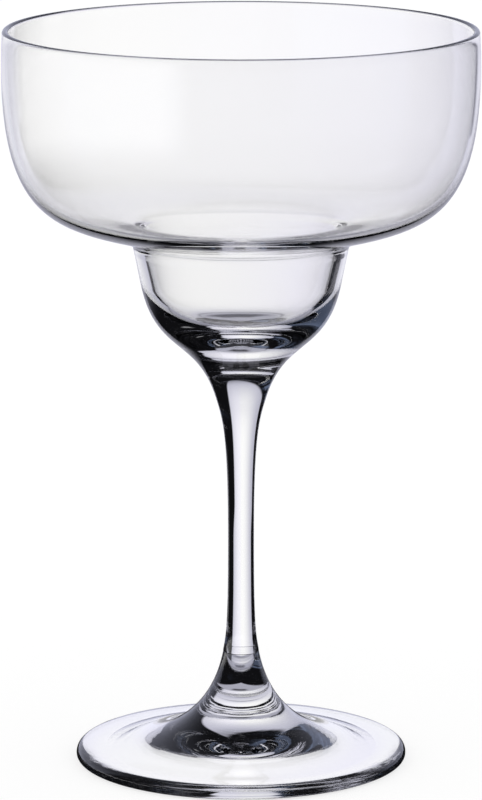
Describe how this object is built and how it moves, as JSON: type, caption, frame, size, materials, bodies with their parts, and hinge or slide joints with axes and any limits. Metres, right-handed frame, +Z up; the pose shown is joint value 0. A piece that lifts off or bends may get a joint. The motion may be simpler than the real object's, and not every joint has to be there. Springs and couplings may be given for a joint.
{
  "type": "margarita glass",
  "caption": "Clear stepped margarita glass for mixed drinks: a wide rounded bowl over a small well, on a slim drawn stem and a flat round foot.",
  "frame": {"origin": "centre of the foot, on the table that the glass stands on", "axes": "+Z up along the axis that the glass is round about; +X and +Y are any two level directions"},
  "size_m": [0.1098, 0.1098, 0.172],
  "materials": {
    "foot_glass": "clear soda-lime glass, pressed and fire-polished",
    "stem_glass": "clear soda-lime glass, drawn and fire-polished",
    "bowl_glass": "clear soda-lime glass, blown and fire-polished"
  },
  "bodies": {
    "root": {"foot": "foot_glass", "stem": "stem_glass", "bowl": "bowl_glass"}
  },
  "joints": []
}
